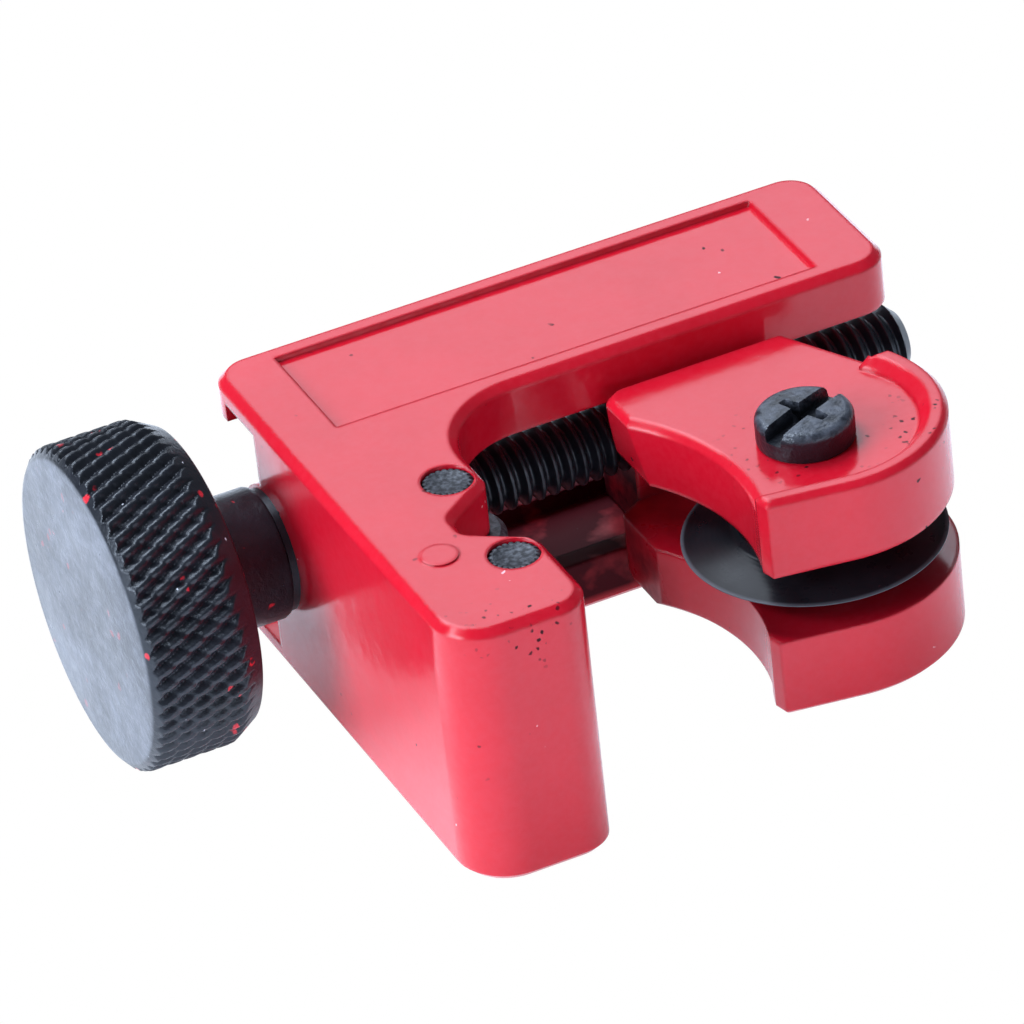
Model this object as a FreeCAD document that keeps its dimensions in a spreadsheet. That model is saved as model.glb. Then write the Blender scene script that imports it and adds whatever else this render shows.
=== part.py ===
import FreeCAD, Part
import os
import Sketcher
from FreeCAD import Vector

# Small tube cutter, lying on its side: the screw runs along X, the tube stands along Z.
# Every outline is drawn from the screw's axis and the outer face of the wall that it passes.
# The whole tool is then set down so that the origin is under the middle of its box.

# Name, size in millimetres, meaning
SIZES = [
    ("BodyThick", 23.3, "frame over both plates"),
    ("BarLength", 53.4, "bars, from the wall's outer face"),
    ("BarWidth", 16.0, "bars, near edge to far edge"),
    ("BarNear", 5.7, "screw axis to the bars' near edge"),
    ("BarSkin", 1.65, "bar between its outer face and its channel"),
    ("NearRimDepth", 4.65, "near rim of a bar, outer face to lip"),
    ("NearRimThick", 2.0, "near rim of a bar"),
    ("FarRimDepth", 3.25, "far rim of a bar, outer face to lip"),
    ("FarRimThick", 3.6, "far rim of a bar"),
    ("WallThick", 4.0, "left wall"),
    ("WallFar", 1.3, "screw axis to the far edge of the left wall"),
    ("EndWall", 4.0, "closed end of the arm"),
    ("BossRadius", 5.4, "bearing boss round the screw"),
    ("BossLength", 6.5, "bearing boss, from the wall's outer face"),
    ("NeckRadius", 7.4, "inner corner between bar and arm"),
    ("CornerRadius", 3.0, "corners of the frame's outline"),
    ("ArmCorner", 4.4, "near left corner of the frame's outline"),
    ("InnerCorner", 1.5, "corners of the roller space"),
    ("EdgeChamfer", 0.65, "outer edges of the frame"),
    ("NotchDepth", 4.6, "tube notch in the arm"),
    ("NotchMouth", 9.0, "tube notch where it opens"),
    ("NotchFloor", 2.2, "tube notch at its root"),
    ("NotchTip", 1.9, "rounded shoulders of the notch"),
    ("NotchRoot", 1.1, "rounded root of the notch"),
    ("PanelStart", 5.2, "wall's outer face to the sunk panel"),
    ("PanelLength", 42.2, "sunk panel"),
    ("PanelWidth", 12.0, "sunk panel"),
    ("PanelMargin", 2.0, "near edge of the bar to the sunk panel"),
    ("PanelDepth", 0.45, "sunk panel"),
    ("EjectorRadius", 1.5, "raised mark of the ejector pin"),
    ("EjectorHeight", 0.12, "raised mark of the ejector pin"),
    ("EjectorX", 4.3, "raised mark, from the wall's outer face"),
    ("EjectorY", 24.8, "raised mark, from the screw axis"),
    ("TubeOffset", 21.6, "screw axis to the line through the tube's centre"),
    ("PinPitch", 12.2, "between the roller pins"),
    ("PinRadius", 2.1, "roller pin"),
    ("PinSink", 0.15, "pin's end below the plate's face"),
    ("PinChamfer", 0.25, "pin's end"),
    ("PinEdgeWall", 0.6, "pin to the arm's edge beside the tube"),
    ("RollerRadius", 4.2, "roller"),
    ("RollerChamfer", 0.5, "roller's ends"),
    ("RollerWallGap", 1.1, "rollers to the left wall"),
    ("RollerEndGap", 0.6, "outer roller to the arm's closed end"),
    ("RunGap", 0.05, "radial play of a turning fit"),
    ("SideGap", 0.25, "play beside a turning or sliding piece"),
    ("ScrewRadius", 3.175, "lead screw over its thread"),
    ("ScrewReach", 55.8, "screw's tip, from the wall's outer face"),
    ("ScrewStart", 8.6, "first thread, from the wall's outer face"),
    ("ScrewChamfer", 0.5, "ends of the thread"),
    ("ShankRadius", 3.0, "plain shank in the wall and the knob"),
    ("ShankInKnob", 9.0, "shank inside the knob"),
    ("WasherRadius", 5.1, "thrust washer"),
    ("WasherThick", 0.6, "thrust washer"),
    ("RingRadius", 4.9, "retaining ring"),
    ("RingThick", 0.8, "retaining ring"),
    ("RingPlay", 0.1, "ring's play beside the boss and in its groove"),
    ("RingMouth", 3.6, "gap in the retaining ring"),
    ("GrooveRadius", 2.45, "ring's groove in the shank"),
    ("HubRadius", 5.5, "knob's hub"),
    ("HubLength", 5.85, "knob's hub"),
    ("HubChamfer", 0.4, "hub's end"),
    ("KnobRadius", 13.5, "knob over its knurl"),
    ("KnobWidth", 9.75, "knob's head"),
    ("KnobFace", 12.6, "radius of the knob's flat face"),
    ("KnobFrontBevel", 0.7, "bevel beside the flat face, along the axis"),
    ("KnobRearRadius", 12.3, "knob's head at its rear face"),
    ("KnobRearBevel", 2.1, "bevel at the knob's rear, along the axis"),
    ("CarriageX", 26.3, "ears' left side, from the wall's outer face"),
    ("CarriageLength", 15.6, "carriage along the screw"),
    ("EarDraft", 1.0, "slope of the upper ear's left side, from its face to the slot"),
    ("EarChamfer", 0.6, "ears' outer edges beside the tube"),
    ("BlockX", 31.5, "threaded block's left side, from the wall's outer face"),
    ("WebX", 27.7, "start of the slanting web between ears and block"),
    ("WebTop", 4.2, "screw axis to the slanting web's end"),
    ("StepGap", 0.8, "carriage's step to the bars' near edges"),
    ("EarFace", 8.75, "ears' outer faces, from the middle plane"),
    ("RimRise", 1.2, "raised rim round the nose"),
    ("RimWidth", 2.3, "raised rim round the nose"),
    ("SlotHalf", 3.05, "half of the slot between the ears"),
    ("SlotBack", 5.4, "slot's back wall to the wheel's edge"),
    ("AxleX", 37.2, "wheel's axis, from the wall's outer face"),
    ("NoseRadius", 11.1, "round nose of the ears"),
    ("HeelTurn", 10, "degrees from the nose's lowest point to its straight heel"),
    ("NoseAhead", 0.8, "nose's centre past the wheel's axis, along X"),
    ("NoseBehind", 1.3, "nose's centre past the wheel's axis, towards the screw"),
    ("LipX", 46.4, "end of the slanting edge, from the wall's outer face"),
    ("LipY", 15.2, "end of the slanting edge, from the screw axis"),
    ("HornX", 29.6, "ears' near left corner, from the wall's outer face"),
    ("HornY", 30.1, "ears' near left corner, from the screw axis"),
    ("HollowRadius", 18.3, "hollow that clears the tube"),
    ("HollowReach", 30.3, "deepest point of the hollow, from the wall's outer face"),
    ("HollowShift", 1.3, "hollow's centre past the tube line"),
    ("CarriageCorner", 2.0, "carriage's corner beside the bar"),
    ("RimChamfer", 0.45, "outer edge of the raised rim"),
    ("RimSlope", 0.9, "inner edge of the raised rim"),
    ("WheelRadius", 10.6, "cutting wheel"),
    ("WheelHub", 6.6, "hub of the cutting wheel"),
    ("WheelBevel", 0.6, "half the disc's thickness inside the cutting bevel"),
    ("WheelEdge", 1.6, "height of the cutting bevel"),
    ("WheelFlat", 0.03, "half the thickness of the cutting edge"),
    ("AxleRadius", 2.5, "axle screw"),
    ("AxleHead", 3.95, "axle screw's head"),
    ("AxleHeadHeight", 2.7, "axle screw's head"),
    ("AxleHeadRound", 0.7, "width of the head's rounded edge"),
    ("AxleHeadStep", 0.2, "where the head's edge bends, from its top and its side"),
    ("AxleSink", 0.3, "axle screw's tip below the lower ear's face"),
]

# Expressions that several pieces share
HALF = "(Dims.BodyThick/2)"
INNER = "(Dims.BodyThick/2 - Dims.NearRimDepth)"
CEILING = "(Dims.BodyThick/2 - Dims.BarSkin)"
BAR_FAR = "(Dims.BarWidth - Dims.BarNear)"
PIN_X = "(Dims.WallThick + Dims.RollerRadius + Dims.RollerWallGap)"
ARM_WIDTH = f"({PIN_X} + Dims.PinRadius + Dims.PinEdgeWall)"
ROLLER_SIDE = "(Dims.TubeOffset + Dims.PinPitch/2 + Dims.RollerRadius)"
ARM_REACH = f"({ROLLER_SIDE} + Dims.RollerEndGap + Dims.EndWall)"
HUB_END = "(-Dims.WasherThick - Dims.RunGap)"
KNOB_REAR = f"({HUB_END} - Dims.HubLength)"
KNOB_FRONT = f"({KNOB_REAR} - Dims.KnobWidth)"
CARRIAGE_FAR = f"({BAR_FAR} - Dims.FarRimThick - Dims.SideGap)"
STEP_Y = "(-Dims.BarNear - Dims.StepGap)"
CARRIAGE_END = "(Dims.CarriageX + Dims.CarriageLength)"
NOSE_X = "(Dims.AxleX + Dims.NoseAhead)"
NOSE_Y = "(-Dims.TubeOffset + Dims.NoseBehind)"
RIM_TOP = "(Dims.EarFace + Dims.RimRise)"
SLOT_Y = "(-Dims.TubeOffset + Dims.WheelRadius + Dims.SlotBack)"

# Middle of the tool's box, and its lowest point, seen from the screw's axis at the wall
CENTRE_X = f"(Dims.ScrewReach + {KNOB_FRONT})/2"
CENTRE_Y = f"(Dims.KnobRadius - {ARM_REACH})/2"
LOWEST_Z = "-Dims.KnobRadius"

BEYOND = 5.0  # how far a cut runs past the solid that it opens

doc = FreeCAD.newDocument("tube_cutter")
sheet = doc.addObject("Spreadsheet::Sheet", "Dims")
for row, (name, size, meaning) in enumerate(SIZES, start=1):
    sheet.set(f"A{row}", name)
    sheet.set(f"B{row}", str(size))
    sheet.setAlias(f"B{row}", name)
    sheet.set(f"C{row}", meaning)
doc.recompute()


def size_of(expression):
    """Number that an expression of the sheet's sizes gives now."""
    return float(sheet.evalExpression(str(expression).replace("Dims.", "")))


def new_body(label, x="0", y="0", z="0"):
    """Body whose own origin stands at x, y, z from the screw's axis at the wall."""
    body = doc.addObject("PartDesign::Body", label)
    body.Label = label
    body.setExpression("Placement.Base.x", f"{x} - {CENTRE_X}")
    body.setExpression("Placement.Base.y", f"{y} - {CENTRE_Y}")
    body.setExpression("Placement.Base.z", f"{z} - ({LOWEST_Z})")
    return body


def origin_part(body, role):
    """Plane or axis of the body's own origin."""
    return next(item for item in body.Origin.OriginFeatures if item.Role == role)


def new_sketch(body, name, plane, offset="0"):
    """Empty sketch on one of the body's planes, moved along the plane's normal."""
    sketch = body.newObject("Sketcher::SketchObject", name)
    sketch.AttachmentSupport = [(origin_part(body, plane), "")]
    sketch.MapMode = "FlatFace"
    sketch.setExpression("AttachmentOffset.Base.z", offset)
    return sketch


def pin_down(sketch, index, end, x, y):
    """Hold one point of the sketch at two expressions."""
    for kind, expression in (("DistanceX", x), ("DistanceY", y)):
        value = size_of(expression)
        number = sketch.addConstraint(Sketcher.Constraint(kind, -1, 1, index, end, value))
        sketch.setExpression(f"Constraints[{number}]", str(expression))


def add_outline(sketch, corners):
    """Closed polygon through corners given as pairs of expressions."""
    points = [Vector(size_of(x), size_of(y), 0) for x, y in corners]
    count = len(points)
    first = sketch.GeometryCount
    for k in range(count):
        sketch.addGeometry(Part.LineSegment(points[k], points[(k + 1) % count]))
    for k in range(count):
        following = first + (k + 1) % count
        sketch.addConstraint(Sketcher.Constraint("Coincident", first + k, 2, following, 1))
    for k, (x, y) in enumerate(corners):
        pin_down(sketch, first + k, 1, x, y)


def add_circle(sketch, x, y, radius):
    """Circle with its centre and radius held by expressions."""
    centre = Vector(size_of(x), size_of(y), 0)
    index = sketch.addGeometry(Part.Circle(centre, Vector(0, 0, 1), size_of(radius)))
    pin_down(sketch, index, 3, x, y)
    number = sketch.addConstraint(Sketcher.Constraint("Radius", index, size_of(radius)))
    sketch.setExpression(f"Constraints[{number}]", str(radius))


def pad(body, sketch, length, both_sides=False):
    """Add material along the sketch's normal, or half of it to each side."""
    feature = body.newObject("PartDesign::Pad", f"{sketch.Name}_pad")
    feature.Profile = sketch
    feature.setExpression("Length", length)
    feature.SideType = "Symmetric" if both_sides else "One side"
    doc.recompute()
    return feature


def pocket(body, sketch, length, both_sides=False, along_normal=False):
    """Cut material against the sketch's normal, along it, or half to each side."""
    before = body.Shape.Volume
    feature = body.newObject("PartDesign::Pocket", f"{sketch.Name}_cut")
    feature.Profile = sketch
    feature.setExpression("Length", length)
    feature.SideType = "Symmetric" if both_sides else "One side"
    feature.Reversed = along_normal
    doc.recompute()
    if body.Shape.Volume >= before:
        raise RuntimeError(f"{feature.Name} cut nothing")
    return feature


def mirror_down(body, feature):
    """Repeat a feature on the other side of the middle plane."""
    mirrored = body.newObject("PartDesign::Mirrored", f"{feature.Name}_below")
    mirrored.Originals = [feature]
    mirrored.MirrorPlane = (origin_part(body, "XY_Plane"), [""])
    body.Tip = mirrored
    doc.recompute()
    return mirrored


def dress_edges(body, name, kind, size, wanted):
    """Fillet or chamfer the edges of the body's present shape that wanted(edge) picks."""
    base = body.Tip
    edges = [f"Edge{k}" for k, edge in enumerate(base.Shape.Edges, start=1) if wanted(edge)]
    feature = body.newObject(f"PartDesign::{kind}", name)
    feature.Base = (base, edges)
    feature.setExpression("Radius" if kind == "Fillet" else "Size", size)
    doc.recompute()
    return feature


def round_edges(body, name, radius, wanted):
    """Round the picked edges."""
    return dress_edges(body, name, "Fillet", radius, wanted)


def chamfer_edges(body, name, size, wanted):
    """Break the picked edges with a flat at 45 degrees."""
    return dress_edges(body, name, "Chamfer", size, wanted)


def near(a, b):
    """Whether two lengths are the same for picking edges."""
    return abs(a - b) < 1e-4


def upright_at(x, y):
    """Test for an edge parallel to Z that stands at x, y."""
    place_x, place_y = size_of(x), size_of(y)

    def wanted(edge):
        box = edge.BoundBox
        is_upright = near(box.XLength, 0) and near(box.YLength, 0)
        return is_upright and near(box.XMin, place_x) and near(box.YMin, place_y)

    return wanted


def upright_at_any(*places):
    """Test for an edge parallel to Z that stands at one of several places."""
    tests = [upright_at(x, y) for x, y in places]
    return lambda edge: any(test(edge) for test in tests)


def level_at(height):
    """Test for an edge that lies wholly at plus or minus a height."""
    level = size_of(height)

    def wanted(edge):
        box = edge.BoundBox
        return near(box.ZLength, 0) and near(abs(box.ZMin), level)

    return wanted


def level_left_of(height, limit):
    """Test for an edge at plus or minus a height and wholly left of a limit."""
    is_level = level_at(height)
    right = size_of(limit)
    return lambda edge: is_level(edge) and edge.BoundBox.XMax < right


def level_around(height, x, y, radius):
    """Test for an edge at a height that touches a circle about x, y and isn't along X."""
    is_level = level_at(height)
    centre_x, centre_y, reach = size_of(x), size_of(y), size_of(radius)

    def wanted(edge):
        if not is_level(edge) or near(edge.BoundBox.YLength, 0):
            return False
        centre = Part.Vertex(Vector(centre_x, centre_y, edge.BoundBox.ZMin))
        return near(centre.distToShape(edge)[0], reach)

    return wanted


def turned(label, axis, profile, **place):
    """Solid of revolution from (along, radius) pairs about the body's X or Z axis."""
    body = new_body(label, **place)
    if axis == "X":
        sketch = new_sketch(body, f"{label}_profile", "XY_Plane")
        add_outline(sketch, profile)
    else:
        sketch = new_sketch(body, f"{label}_profile", "XZ_Plane")
        add_outline(sketch, [(radius, along) for along, radius in profile])
    feature = body.newObject("PartDesign::Revolution", f"{label}_turned")
    feature.Profile = sketch
    feature.ReferenceAxis = (origin_part(body, f"{axis}_Axis"), [""])
    feature.Angle = 360
    doc.recompute()
    return body


def make_frame():
    """Casting: two L-shaped plates joined by a left wall and by the arm's closed end."""
    body = new_body("frame")
    arm_end = f"-{ARM_REACH}"
    bar_near = "-Dims.BarNear"
    mouth = "Dims.NotchMouth/2"
    floor = "Dims.NotchFloor/2"
    notch_x = f"{ARM_WIDTH} - Dims.NotchDepth"
    plan = [
        ("0", arm_end),
        (ARM_WIDTH, arm_end),
        (ARM_WIDTH, f"-Dims.TubeOffset - {mouth}"),
        (notch_x, f"-Dims.TubeOffset - {floor}"),
        (notch_x, f"-Dims.TubeOffset + {floor}"),
        (ARM_WIDTH, f"-Dims.TubeOffset + {mouth}"),
        (ARM_WIDTH, bar_near),
        ("Dims.BarLength", bar_near),
        ("Dims.BarLength", BAR_FAR),
        ("0", BAR_FAR),
    ]
    outline = new_sketch(body, "plan", "XY_Plane")
    add_outline(outline, plan)
    pad(body, outline, "Dims.BodyThick", both_sides=True)
    outer = [plan[1], plan[7], plan[8], plan[9]]
    round_edges(body, "outer_corners", "Dims.CornerRadius", upright_at_any(*outer))
    round_edges(body, "arm_corner", "Dims.ArmCorner", upright_at(*plan[0]))
    round_edges(body, "neck", "Dims.NeckRadius", upright_at(*plan[6]))
    round_edges(body, "notch_tips", "Dims.NotchTip", upright_at_any(plan[2], plan[5]))
    round_edges(body, "notch_root", "Dims.NotchRoot", upright_at_any(plan[3], plan[4]))
    chamfer_edges(body, "outer_edges", "Dims.EdgeChamfer", level_at(HALF))

    # Space between the plates: rollers in the arm, carriage between the bars
    inner_end = f"-{ARM_REACH} + Dims.EndWall"
    far_side = f"{BAR_FAR} + {BEYOND}"
    right_side = f"Dims.BarLength + {BEYOND}"
    space = [
        ("Dims.WallThick", inner_end),
        (right_side, inner_end),
        (right_side, far_side),
        (f"-{BEYOND}", far_side),
        (f"-{BEYOND}", "Dims.WallFar"),
        ("Dims.WallThick", "Dims.WallFar"),
    ]
    between = new_sketch(body, "between_plates", "XY_Plane")
    add_outline(between, space)
    pocket(body, between, f"2*{INNER}", both_sides=True)
    round_edges(body, "roller_space_corner", "Dims.InnerCorner", upright_at(*space[0]))

    # Channel under each bar, and the lower lip of each far rim
    channel_near = "-Dims.BarNear + Dims.NearRimThick"
    channel_far = f"{BAR_FAR} - Dims.FarRimThick"
    lip = f"{HALF} - Dims.FarRimDepth"
    channel = new_sketch(body, "channel", "YZ_Plane", "Dims.WallThick")
    steps = [
        (channel_near, "0"),
        (channel_near, CEILING),
        (channel_far, CEILING),
        (channel_far, lip),
        (far_side, lip),
        (far_side, "0"),
    ]
    add_outline(channel, steps)
    opened = pocket(body, channel, f"Dims.BarLength + {BEYOND}", along_normal=True)
    mirror_down(body, opened)
    mouth_steps = [("Dims.WallFar", "0"), ("Dims.WallFar", CEILING)] + steps[2:]
    channel_mouth = new_sketch(body, "channel_mouth", "YZ_Plane")
    add_outline(channel_mouth, mouth_steps)
    opened = pocket(body, channel_mouth, "Dims.WallThick", along_normal=True)
    mirror_down(body, opened)

    # Bearing boss and the bore of the screw's shank
    boss = new_sketch(body, "boss", "YZ_Plane")
    add_circle(boss, "0", "0", "Dims.BossRadius")
    pad(body, boss, "Dims.BossLength")
    bore = new_sketch(body, "screw_bore", "YZ_Plane")
    add_circle(bore, "0", "0", "Dims.ShankRadius + Dims.RunGap")
    pocket(body, bore, f"Dims.BossLength + {BEYOND}", along_normal=True)

    # Sunk panel of each bar
    panel_far = "Dims.PanelStart + Dims.PanelLength"
    panel_near = "-Dims.BarNear + Dims.PanelMargin"
    panel = new_sketch(body, "panel", "XY_Plane", HALF)
    panel_corners = [
        ("Dims.PanelStart", panel_near),
        (panel_far, panel_near),
        (panel_far, f"{panel_near} + Dims.PanelWidth"),
        ("Dims.PanelStart", f"{panel_near} + Dims.PanelWidth"),
    ]
    add_outline(panel, panel_corners)
    sunk = pocket(body, panel, "Dims.PanelDepth")
    mirror_down(body, sunk)

    pins = new_sketch(body, "pin_holes", "XY_Plane")
    for side in ("-", "+"):
        add_circle(pins, PIN_X, f"-Dims.TubeOffset {side} Dims.PinPitch/2", "Dims.PinRadius")
    pocket(body, pins, "2*Dims.BodyThick", both_sides=True)

    ejector = new_sketch(body, "ejector_mark", "XY_Plane", f"{HALF} - Dims.EjectorHeight")
    add_circle(ejector, "Dims.EjectorX", "-Dims.EjectorY", "Dims.EjectorRadius")
    pad(body, ejector, "2*Dims.EjectorHeight")
    return body


def make_rollers():
    """Two steel rollers and the pins that carry them between the plates."""
    bodies = []
    half_pin = f"{HALF} - Dims.PinSink"
    half_roller = f"{INNER} - Dims.SideGap"
    bore = "Dims.PinRadius + Dims.RunGap"
    for word, side in (("inner", "+"), ("outer", "-")):
        place = {"x": PIN_X, "y": f"-Dims.TubeOffset {side} Dims.PinPitch/2"}
        pin = [
            (f"-({half_pin})", "0"),
            (f"-({half_pin})", "Dims.PinRadius - Dims.PinChamfer"),
            (f"-({half_pin}) + Dims.PinChamfer", "Dims.PinRadius"),
            (f"{half_pin} - Dims.PinChamfer", "Dims.PinRadius"),
            (half_pin, "Dims.PinRadius - Dims.PinChamfer"),
            (half_pin, "0"),
        ]
        bodies.append(turned(f"{word}_roller_pin", "Z", pin, **place))
        roller = [
            (f"-({half_roller})", bore),
            (f"-({half_roller})", "Dims.RollerRadius - Dims.RollerChamfer"),
            (f"-({half_roller}) + Dims.RollerChamfer", "Dims.RollerRadius"),
            (f"{half_roller} - Dims.RollerChamfer", "Dims.RollerRadius"),
            (half_roller, "Dims.RollerRadius - Dims.RollerChamfer"),
            (half_roller, bore),
        ]
        bodies.append(turned(f"{word}_roller", "Z", roller, **place))
    return bodies


def make_screw():
    """Lead screw: plain shank with a groove for the ring, then the threaded length."""
    groove = "Dims.BossLength + Dims.RingPlay"
    groove_end = f"{groove} + Dims.RingThick + Dims.RingPlay"
    profile = [
        (f"{HUB_END} - Dims.ShankInKnob", "0"),
        (f"{HUB_END} - Dims.ShankInKnob", "Dims.ShankRadius"),
        (groove, "Dims.ShankRadius"),
        (groove, "Dims.GrooveRadius"),
        (groove_end, "Dims.GrooveRadius"),
        (groove_end, "Dims.ShankRadius - Dims.ScrewChamfer/2"),
        ("Dims.ScrewStart", "Dims.ShankRadius - Dims.ScrewChamfer/2"),
        ("Dims.ScrewStart + Dims.ScrewChamfer", "Dims.ScrewRadius"),
        ("Dims.ScrewReach - Dims.ScrewChamfer", "Dims.ScrewRadius"),
        ("Dims.ScrewReach", "Dims.ScrewRadius - Dims.ScrewChamfer"),
        ("Dims.ScrewReach", "0"),
    ]
    return turned("lead_screw", "X", profile)


def make_knob():
    """Knob's head and hub in one turned piece, with a blind bore for the shank."""
    bore_end = f"{HUB_END} - Dims.ShankInKnob"
    profile = [
        (KNOB_FRONT, "0"),
        (KNOB_FRONT, "Dims.KnobFace"),
        (f"{KNOB_FRONT} + Dims.KnobFrontBevel", "Dims.KnobRadius"),
        (f"{KNOB_REAR} - Dims.KnobRearBevel", "Dims.KnobRadius"),
        (KNOB_REAR, "Dims.KnobRearRadius"),
        (KNOB_REAR, "Dims.HubRadius"),
        (f"{HUB_END} - Dims.HubChamfer", "Dims.HubRadius"),
        (HUB_END, "Dims.HubRadius - Dims.HubChamfer"),
        (HUB_END, "Dims.ShankRadius"),
        (bore_end, "Dims.ShankRadius"),
        (bore_end, "0"),
    ]
    return turned("knob", "X", profile)


def make_washer():
    """Thrust washer between the knob's hub and the wall."""
    bore = "Dims.ShankRadius + Dims.RunGap"
    profile = [
        ("-Dims.WasherThick", bore),
        ("-Dims.WasherThick", "Dims.WasherRadius"),
        ("0", "Dims.WasherRadius"),
        ("0", bore),
    ]
    return turned("thrust_washer", "X", profile)


def make_ring():
    """Open retaining ring in the shank's groove, on the inner side of the boss."""
    body = new_body("retaining_ring", x="Dims.BossLength + 1.5*Dims.RingPlay")
    flat = new_sketch(body, "ring", "YZ_Plane")
    add_circle(flat, "0", "0", "Dims.RingRadius")
    add_circle(flat, "0", "0", "Dims.GrooveRadius")
    pad(body, flat, "Dims.RingThick")
    half = "Dims.RingMouth/2"
    outside = "Dims.RingRadius + 1"
    mouth = new_sketch(body, "ring_mouth", "YZ_Plane")
    add_outline(mouth, [("0", f"-{half}"), (outside, f"-{half}"), (outside, half), ("0", half)])
    pocket(body, mouth, "Dims.RingThick", along_normal=True)
    return body


def nose_heel(radius):
    """Point of a circle round the nose's centre where the straight heel meets it."""
    x = f"({NOSE_X} - {radius}*sin(Dims.HeelTurn))"
    y = f"({NOSE_Y} - {radius}*cos(Dims.HeelTurn))"
    return x, y


def make_carriage():
    """Casting that travels on the screw: threaded block between the bars, two ears outside."""
    body = new_body("carriage")
    plan = [
        ("Dims.CarriageX", STEP_Y),
        ("Dims.CarriageX", "-Dims.HornY/2"),
        ("Dims.HornX", "-Dims.HornY"),
        nose_heel("Dims.NoseRadius"),
        (NOSE_X, NOSE_Y),
        ("Dims.LipX", "-Dims.LipY"),
        (CARRIAGE_END, STEP_Y),
    ]
    ears = new_sketch(body, "ears", "XY_Plane")
    add_outline(ears, plan)
    pad(body, ears, f"2*{RIM_TOP}", both_sides=True)
    nose = new_sketch(body, "nose", "XY_Plane")
    add_circle(nose, NOSE_X, NOSE_Y, "Dims.NoseRadius")
    pad(body, nose, f"2*{RIM_TOP}", both_sides=True)

    # Beside the slanting edge nothing of the round nose stands out above the lip
    outside = f"{NOSE_X} + Dims.NoseRadius + {BEYOND}"
    slant = new_sketch(body, "slanting_edge", "XY_Plane")
    add_outline(slant, [
        ("Dims.LipX", "-Dims.LipY"),
        (outside, "-Dims.LipY"),
        (outside, STEP_Y),
        (CARRIAGE_END, STEP_Y),
    ])
    pocket(body, slant, f"4*{RIM_TOP}", both_sides=True)
    hollow = new_sketch(body, "tube_hollow", "XY_Plane")
    hollow_x = "Dims.HollowReach - Dims.HollowRadius"
    add_circle(hollow, hollow_x, "-Dims.TubeOffset - Dims.HollowShift", "Dims.HollowRadius")
    pocket(body, hollow, f"4*{RIM_TOP}", both_sides=True)
    round_edges(body, "bar_corner", "Dims.CarriageCorner", upright_at(*plan[0]))
    chamfer_edges(body, "rim_edges", "Dims.RimChamfer", level_at(RIM_TOP))

    # Ears' flat faces inside the raised rim
    inside = "(Dims.NoseRadius - Dims.RimWidth)"
    face = new_sketch(body, "nose_face", "XY_Plane", RIM_TOP)
    add_circle(face, NOSE_X, NOSE_Y, inside)
    sunk = pocket(body, face, "Dims.RimRise")
    mirror_down(body, sunk)
    left = f"Dims.CarriageX - {BEYOND}"
    heel_x, heel_y = nose_heel(inside)
    flat = new_sketch(body, "ear_face", "XY_Plane", RIM_TOP)
    add_outline(flat, [
        (left, f"{STEP_Y} + 1"),
        (outside, f"{STEP_Y} + 1"),
        (outside, "-Dims.LipY"),
        (NOSE_X, "-Dims.LipY"),
        (heel_x, heel_y),
        (left, f"{heel_y} + ({heel_x} - ({left}))*tan(Dims.HeelTurn)"),
    ])
    sunk = pocket(body, flat, "Dims.RimRise")
    mirror_down(body, sunk)
    rim_inside = level_around(RIM_TOP, NOSE_X, NOSE_Y, inside)
    chamfer_edges(body, "rim_slope", "Dims.RimSlope", rim_inside)
    chamfer_edges(body, "ear_edges", "Dims.EarChamfer", level_left_of("Dims.EarFace", "Dims.BlockX"))
    draft = new_sketch(body, "ear_draft", "XZ_Plane")
    slope_end = "Dims.CarriageX + Dims.EarDraft"
    add_outline(draft, [
        (left, "Dims.EarFace"),
        ("Dims.CarriageX", "Dims.EarFace"),
        (slope_end, "Dims.SlotHalf"),
        (slope_end, "-2*Dims.EarFace"),
        (left, "-2*Dims.EarFace"),
    ])
    pocket(body, draft, "2*Dims.HornY", both_sides=True)

    # Threaded block: wide inside the channels, narrow between the near rims
    channel_near = "-Dims.BarNear + Dims.NearRimThick + Dims.SideGap"
    tall = f"{CEILING} - Dims.SideGap"
    low = f"{INNER} - Dims.SideGap"
    root = f"{STEP_Y} - 1"
    block = new_sketch(body, "block", "YZ_Plane", "Dims.BlockX")
    add_outline(block, [
        (root, f"-({low})"),
        (channel_near, f"-({low})"),
        (channel_near, f"-({tall})"),
        (CARRIAGE_FAR, f"-({tall})"),
        (CARRIAGE_FAR, tall),
        (channel_near, tall),
        (channel_near, low),
        (root, low),
    ])
    pad(body, block, f"{CARRIAGE_END} - Dims.BlockX")
    web = new_sketch(body, "web", "XY_Plane")
    add_outline(web, [
        ("Dims.WebX", root),
        ("Dims.WebX", STEP_Y),
        ("Dims.BlockX", "-Dims.WebTop"),
        ("Dims.BlockX + 1", "-Dims.WebTop"),
        ("Dims.BlockX + 1", root),
    ])
    pad(body, web, f"2*({low})", both_sides=True)

    # Slot for the wheel, screw thread's bore and the axle's bore
    slot = new_sketch(body, "wheel_slot", "XY_Plane")
    below = f"-Dims.HornY - {BEYOND}"
    add_outline(slot, [(left, SLOT_Y), (left, below), (outside, below), (outside, SLOT_Y)])
    pocket(body, slot, "2*Dims.SlotHalf", both_sides=True)
    bore = new_sketch(body, "thread_bore", "YZ_Plane")
    add_circle(bore, "0", "0", "Dims.ScrewRadius + Dims.RunGap")
    pocket(body, bore, f"{CARRIAGE_END} + {BEYOND}", along_normal=True)
    axle = new_sketch(body, "axle_bore", "XY_Plane")
    add_circle(axle, "Dims.AxleX", "-Dims.TubeOffset", "Dims.AxleRadius")
    pocket(body, axle, f"4*{RIM_TOP}", both_sides=True)
    return body


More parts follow.
